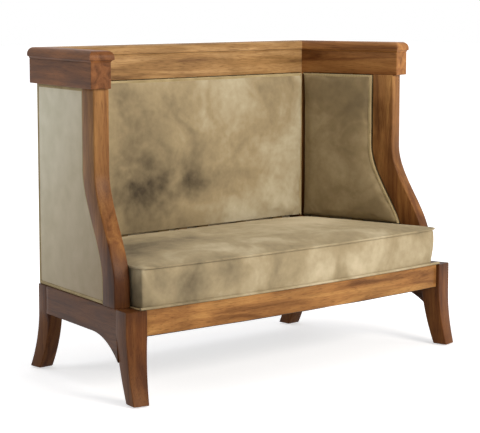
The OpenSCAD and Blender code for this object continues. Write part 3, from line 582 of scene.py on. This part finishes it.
def stuffed(made, held, pressure, cap, slack, frames=16):
    """Lets stuffing press a cover outwards: held points stay, and no point moves further than the cap."""
    held_group = made.vertex_groups.new(name="held")
    held_group.add(held, 1.0, "REPLACE")
    start = np.array([v.co for v in made.data.vertices])
    cloth = made.modifiers.new("stuffing", "CLOTH")
    cloth.settings.vertex_group_mass = "held"
    cloth.settings.quality = 5
    cloth.settings.mass = 0.4
    cloth.settings.tension_stiffness = 22
    cloth.settings.compression_stiffness = 22
    cloth.settings.shear_stiffness = 9
    cloth.settings.bending_stiffness = 0.6
    cloth.settings.shrink_min = -slack
    cloth.settings.use_pressure = True
    cloth.settings.uniform_pressure_force = pressure
    cloth.settings.effector_weights.gravity = 0
    cloth.point_cache.frame_start, cloth.point_cache.frame_end = 1, frames
    for number in range(1, frames + 1):
        bpy.context.scene.frame_set(number)
    settled = made.evaluated_get(bpy.context.evaluated_depsgraph_get()).to_mesh()
    end = np.array([v.co for v in settled.vertices])
    move = end - start
    length = np.linalg.norm(move, axis=1, keepdims=True)
    move *= cap * np.tanh(length / cap) / np.maximum(length, 1e-9)
    made.modifiers.remove(cloth)
    made.data.vertices.foreach_set("co", (start + move).ravel())
    made.data.update()
    bpy.context.scene.frame_set(1)


def soften(made):
    """Adds one level of subdivision and applies it."""
    smooth = made.modifiers.new("softening", "SUBSURF")
    smooth.levels = smooth.render_levels = 1
    with bpy.context.temp_override(object=made, active_object=made, selected_objects=[made]):
        bpy.ops.object.modifier_apply(modifier=smooth.name)


def fullness(s, t, power):
    """1 in the middle of a pad's face, falling to 0 at its edges, and faster for a higher power."""
    return (1 - abs(s) ** power) * (1 - abs(t) ** power)


def spread(i, count, squeeze=0.35):
    """Grid lines from -1 to 1, closer together near both ends."""
    k = 2 * i / count - 1
    return (1 - squeeze) * k + squeeze * math.sin(k * math.pi / 2)


def closed_pad(name, material, cols, rows, face, rings):
    """A closed pad: a face over s and t from -1 to 1, then rings round its sides, then a flat bottom. It
    comes with the numbers of the bottom's points, for holding them still."""
    bm = bmesh.new()
    ss, ts = [spread(i, cols) for i in range(cols + 1)], [spread(j, rows) for j in range(rows + 1)]
    top = [[bm.verts.new(face(s, t)) for t in ts] for s in ss]
    for i in range(cols):
        for j in range(rows):
            bm.faces.new((top[i][j], top[i + 1][j], top[i + 1][j + 1], top[i][j + 1]))
    rim = grid_rim(cols, rows)
    above = [top[i][j] for i, j in rim]
    for ring in rings:
        below = [bm.verts.new(ring(ss[i], ts[j])) for i, j in rim]
        for k in range(len(rim)):
            n = (k + 1) % len(rim)
            bm.faces.new((above[n], above[k], below[k], below[n]))
        above = below
    base = [[bm.verts.new(rings[-1](ss[i], ts[j])) if 0 < i < cols and 0 < j < rows else None
             for j in range(rows + 1)] for i in range(cols + 1)]
    for v, (i, j) in zip(above, rim):
        base[i][j] = v
    for i in range(cols):
        for j in range(rows):
            bm.faces.new((base[i][j], base[i][j + 1], base[i + 1][j + 1], base[i + 1][j]))
    bm.verts.index_update()
    held = [v.index for column in base for v in column]
    bmesh.ops.recalc_face_normals(bm, faces=bm.faces)
    mesh = bpy.data.meshes.new(name)
    bm.to_mesh(mesh)
    bm.free()
    mesh.shade_smooth()
    mesh.materials.append(material)
    return linked(name, mesh), held


corner_round, near_side, side_run, near_end, end_run = 0.022, 0.93, 0.07, 0.86, 0.14


def seat_place(s, t, inset, z):
    """A point in the seat pad's plan, with its corners rounded."""
    corner = corner_round * max(0.0, abs(s) - near_side) / side_run * max(0.0, abs(t) - near_end) / end_run
    y1 = seat_back - inset
    y0 = bow_y(s * half_width(pad_inset, front_y), pad_gap + inset)
    y = y0 + (y1 - y0) * (t + 1) / 2
    x = s * (half_width(pad_inset + inset, y) - corner * 0.5)
    return Vector((x, y - math.copysign(corner * 0.5, t), z))


# The border's rings downwards, each an inset and a height
border = ((0.006, seat_edge - 0.004), (0.0025, seat_edge - 0.012), (0.001, seat_edge - 0.034),
          (0.001, seat_edge - 0.060), (0.003, seat_edge - 0.086), (0.006, seat_edge - 0.106),
          (0.010, rail_top + 0.011), (0.010, seat_base))
seat_pad, held = closed_pad(
    "seat_pad_stuffed", seat_velvet, 84, 36,
    lambda s, t: seat_place(s, t, 0.012, seat_edge - 0.002 + (seat_crown - 0.004) * fullness(s, t, 4)),
    [lambda s, t, ring=ring: seat_place(s, t, *ring) for ring in border])
stuffed(seat_pad, held, pressure=2.2, cap=0.006, slack=0.02)
soften(seat_pad)
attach(seat_pad, "root")
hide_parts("seat_pad")

# ---- Seat welts ----
# A cotton cord sewn into a strip of the same velvet: one along the top edge of the border, one where
# the border meets the front rail.


def welt(name, points, radius, material):
    """A round cord through the points, with closed ends."""
    bm = bmesh.new()
    loops = []
    for i, p in enumerate(points):
        run = (points[min(i + 1, len(points) - 1)] - points[max(i - 1, 0)]).normalized()
        side = run.cross(Vector((0, 0, 1)))
        side = side.normalized() if side.length > 0.2 else Vector((1, 0, 0)).cross(run).normalized()
        up = side.cross(run).normalized()
        loops.append([p + (side * math.cos(a) + up * math.sin(a)) * radius
                      for a in (2 * math.pi * k / 12 for k in range(12))])
    skin_loops(bm, loops)
    made = shown(name, bm, material, angle=60)
    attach(made, "root")
    return made


welt_r, edge_r, edge_drop = 0.0045, 0.004, 0.003
welt_half = half_width(pad_inset, front_y)
low_path = [Vector((x, bow_y(x, welt_r), rail_top + welt_r))
            for x in (welt_half * (i / 30 - 1) for i in range(61))]
low_welt = welt("seat_welt_sewn", low_path, welt_r, seat_velvet)
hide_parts("seat_welt")
returns = (0.1, -0.2, -0.5, -0.75, -0.9)
edge_path = [seat_place(s, t, welt_r, seat_edge - edge_drop) for s, t in (
    [(-1, t) for t in returns] + [(i / 30 - 1, -1) for i in range(61)] + [(1, t) for t in returns[::-1]])]
welt("seat_edge_welt", edge_path, edge_r, seat_velvet)

# ---- Inside back and inside side pads ----
# Thin stuffed pads over webbing, tacked to the frame all round and covered in the same velvet. They
# are fuller near the seat, and meet in the rear corners.
# Two darker patches in the middle of the back, a broad darker patch over its left part that is partly
# painted shade from the left side, and painted light low and high on the right.
back_velvet = velvet("cotton_velvet_inside_back", "#3a2e1a", "#978665", "#bab095", painted_shading=[
    ((-0.19, 0.246, 0.60), (0.19, 0.2, 0.1), 0.34), ((0.03, 0.246, 0.61), (0.17, 0.2, 0.07), 0.38),
    ((-0.20, 0.246, 0.70), (0.42, 0.2, 0.44), 0.40), ((0.30, 0.246, 0.47), (0.32, 0.2, 0.13), -0.36),
    ((0.52, 0.246, 0.80), (0.14, 0.2, 0.3), -0.2)])
# A darker copy of the same velvet: painted shade for the inside sides, which face away from the light, with
# painted shade patches high on the right side and in the left rear corner.
shaded_side_velvet = velvet("cotton_velvet_inside_sides_painted_shade", "#3f3320", "#82704f", "#a39270", painted_shading=[
    ((0.64, -0.02, 0.92), (0.1, 0.3, 0.2), 0.2), ((-0.585, 0.201, 0.60), (0.1, 0.1, 0.08), 0.3)])
pad_in, pad_edge, pad_crown, pad_low, pad_high = 0.038, 0.028, 0.015, 0.443, 0.997
over_post = 0.005


def pad_height(t, inset):
    return pad_low + inset + (pad_high - pad_low - 2 * inset) * (t + 1) / 2


def back_place(s, t, inset, thick):
    """A point of the back pad, inset from its edge, some way in front of its webbing."""
    half = half_back - post_w + over_post - inset
    return Vector((s * half, back_y - pad_in - thick, pad_height(t, inset)))


def pad_thick(s, t):
    return pad_edge + (pad_crown - 0.004) * fullness(s, t, 4) * (1 - 0.2 * t)


back_pad, held = closed_pad(
    "back_pad_stuffed", back_velvet, 72, 40,
    lambda s, t: back_place(s, t, 0.008, pad_thick(s, t)),
    [lambda s, t, ring=ring: back_place(s, t, *ring) for ring in (
        (0.002, pad_edge - 0.001), (0, pad_edge - 0.0025), (0.0065, pad_edge - 0.0035), (0.0065, 0))])
stuffed(back_pad, held, pressure=1.6, cap=0.005, slack=0.015)
soften(back_pad)
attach(back_pad, "root")
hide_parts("back_pad")


def side_place(side, s, t, inset, thick):
    """A point of a side pad, inset from its edge, some way inside its webbing."""
    z = pad_height(t, inset)
    u0 = sweep_edge(z) + upright_d + pad_gap + inset
    u1 = (back_y - front_y - post_d - pad_gap + pad_in * math.sin(taper)) / math.cos(taper) - inset
    return side_point(side, pad_in + thick, u0 + (u1 - u0) * (s + 1) / 2, z)


for side in (-1, 1):
    word = side_word[side]
    side_pad, held = closed_pad(
        "side_pad_" + word + "_stuffed", shaded_side_velvet, 36, 48,
        lambda s, t: side_place(side, s, t, 0.008, pad_thick(s, t)),
        [lambda s, t, ring=ring: side_place(side, s, t, *ring) for ring in (
            (0.003, pad_edge - 0.003), (0, pad_edge - 0.009), (0, 0))])
    stuffed(side_pad, held, pressure=1.6, cap=0.005, slack=0.015)
    soften(side_pad)
    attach(side_pad, "root")
    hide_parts("side_pad_" + word)

# ---- Outside back and sides ----
# A plain cotton and linen cloth, pulled over thin wadding on a board and tacked on under a braid. It
# It is paler and duller than the velvet, with painted shade darkening it low down and towards the front.
outside_cloth = woven("cotton_linen_cloth", "#d8d2b8", "#efe9d4", 0.0016, roughness=0.92, painted_shade_ramp=(
    (0.05, (0.44, 0.36, 0.30, 1)), (0.60, (0.78, 0.73, 0.68, 1)), (0.95, (1, 1, 1, 1))))


panel_gap = 0.0005


def panel_thick_at(s, t):
    return 0.0035 + 0.004 * fullness(s, t, 6)


def panel_height(t, inset):
    return rail_top + panel_gap + inset + (frieze_z - 0.001 - rail_top - 2 * inset) * (t + 1) / 2


def outside_side_place(side, s, t, inset, thick):
    """A point of an outside side panel, inset from its edge, some way out from its board."""
    z = panel_height(t, inset)
    u0 = sweep_edge(z) + upright_d + panel_gap + inset
    u1 = (back_y - front_y) / math.cos(taper) - inset
    return side_point(side, cover_depth - thick, u0 + (u1 - u0) * (s + 1) / 2, z)


def outside_back_place(s, t, inset, thick):
    """A point of the outside back panel, inset from its edge, some way out from its board."""
    half = corner_point(1, cover_depth, 0, 0).x - inset
    return Vector((s * half, back_y - panel_thick + thick * 0.8, panel_height(t, inset)))


outsides = (("left", lambda *a: outside_side_place(-1, *a)),
            ("right", lambda *a: outside_side_place(1, *a)), ("back", outside_back_place))
for word, place in outsides:
    panel, _ = closed_pad(
        "outside_" + word + "_covered", outside_cloth, 60 if word == "back" else 30, 36,
        lambda s, t: place(s, t, 0.003, panel_thick_at(s, t)),
        [lambda s, t: place(s, t, 0.0005, 0.0028), lambda s, t: place(s, t, 0, 0)])
    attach(panel, "root")
    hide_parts("outside_" + word)

# ---- Gimp braid ----
# A flat braid 11 mm wide, of twisted cotton and linen, glued along the edges of every cover. It hides
# the tacks where a cover meets the show wood.
gimp = woven("cotton_linen_gimp", "#8c7a54", "#b9a67c", 0.0025, roughness=0.8)


braid_near, braid_middle, braid_far, scallop, braid_steps = 0.0008, 0.0060, 0.0115, 0.0006, 150
braid_root, braid_edge, braid_crown = 0.004, 0.0012, 0.0024


def braid(name, place, high, legs):
    """A braid along legs of a cover's edge, each (s, t) to (s, t), on a cover with a height there."""
    bm = bmesh.new()
    for (s0, t0), (s1, t1) in legs:
        loops = []
        for i in range(braid_steps + 1):
            s, t = s0 + (s1 - s0) * i / braid_steps, t0 + (t1 - t0) * i / braid_steps
            wave = scallop * (i % 2)
            loops.append([place(s, t, inset, height) for inset, height in (
                (braid_near, high - braid_root), (braid_near + wave, high + braid_edge),
                (braid_middle, high + braid_crown), (braid_far - wave, high + braid_edge),
                (braid_far, high - braid_root))])
        skin_loops(bm, loops)
    made = shown(name, bm, gimp, angle=50)
    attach(made, "root")


around = [((-1, -1), (1, -1)), ((1, -1), (1, 1)), ((1, 1), (-1, 1)), ((-1, 1), (-1, -1))]
for word, place in outsides:
    braid("gimp_outside_" + word, place, 0.0045, around)
for word, place in (("left", lambda *a: side_place(-1, *a)), ("right", lambda *a: side_place(1, *a)),
                    ("back", back_place)):
    braid("gimp_inside_" + word, place, 0.0265, around[1:] if word == "back" else around[2:])

# ---- Studio ----
# A plain pale floor that fades to white, under soft daylight from a large window in front and three
# smaller ones. The surroundings are white to the lens and in reflections, and dimmer as a light.


def seen_rays(shading):
    """1 on rays from the camera, in a gloss or through glass, and 0 on rays of diffuse light."""
    seen = None
    for kind in ("Is Camera Ray", "Is Glossy Ray", "Is Transmission Ray"):
        ray = add(shading, "LightPath").outputs[kind]
        seen = ray if seen is None else add(
            shading, "Math", {"operation": "MAXIMUM"}, i0=seen, i1=ray).outputs[0]
    return seen


floor_mesh = bpy.data.meshes.new("floor")
floor_half = 30
floor_corners = [(x * floor_half, y * floor_half, 0) for x, y in ((-1, -1), (1, -1), (1, 1), (-1, 1))]
floor_mesh.from_pydata(floor_corners, [], [(0, 1, 2, 3)])
floor = linked("floor", floor_mesh)
painted = new_material("painted_studio_floor")
where = add(painted, "TexCoord").outputs["Object"]
reach = add(painted, "VectorMath", {"operation": "LENGTH"}, i0=where).outputs["Value"]
fade = add(painted, "MapRange", {"interpolation_type": "SMOOTHSTEP"}, Value=reach, From_Min=0.8,
           From_Max=2.2, To_Min=0.57).outputs[0]
white = add(painted, "Math", {"operation": "MULTIPLY"}, i0=fade, i1=seen_rays(painted))
paint = add(painted, "BsdfPrincipled", Base_Color=linear("#e8e8eb"), Roughness=0.7, Specular_IOR_Level=0.1)
glow = add(painted, "Emission", Color=(1, 1, 1, 1), Strength=white.outputs[0])
finish_with(painted, add(painted, "AddShader", i0=paint.outputs[0], i1=glow.outputs[0]))
floor_mesh.materials.append(painted)


def lamp(name, place, target, size, power, colour):
    """A round soft light of a size in metres and a power in watts, turned towards a target."""
    data = bpy.data.lights.new(name, "AREA")
    data.shape, data.size, data.energy, data.color = "DISK", size, power, linear(colour)[:3]
    made = linked(name, data)
    made.location = place
    made.rotation_euler = (Vector(target) - Vector(place)).to_track_quat("-Z", "Y").to_euler()


lamp("window_front", (0.2, -5.2, 2.6), (0, 0, 0.55), 2.6, 262, "#fff8ee")
lamp("window_right", (3.7, -4.0, 1.1), (0, 0, 0.7), 3.0, 50, "#fff6ea")
lamp("window_left", (-2.3, 1.2, 1.6), (-0.65, 0.15, 0.8), 1.2, 9, "#fbfaf6")
lamp("window_top", (-0.2, 0.6, 4.2), (0, 0, 0.4), 3.0, 45, "#ffffff")
world = bpy.data.worlds.new("studio_air")
bpy.context.scene.world = world
world.use_nodes = True
world.node_tree.nodes.clear()
strength = add(world, "MapRange", Value=seen_rays(world), To_Min=0.27, To_Max=1.0)
air = add(world, "Background", Color=(1, 1, 1, 1), Strength=strength.outputs[0])
add(world, "OutputWorld", Surface=air.outputs[0])
bpy.context.scene.view_settings.view_transform = "Standard"
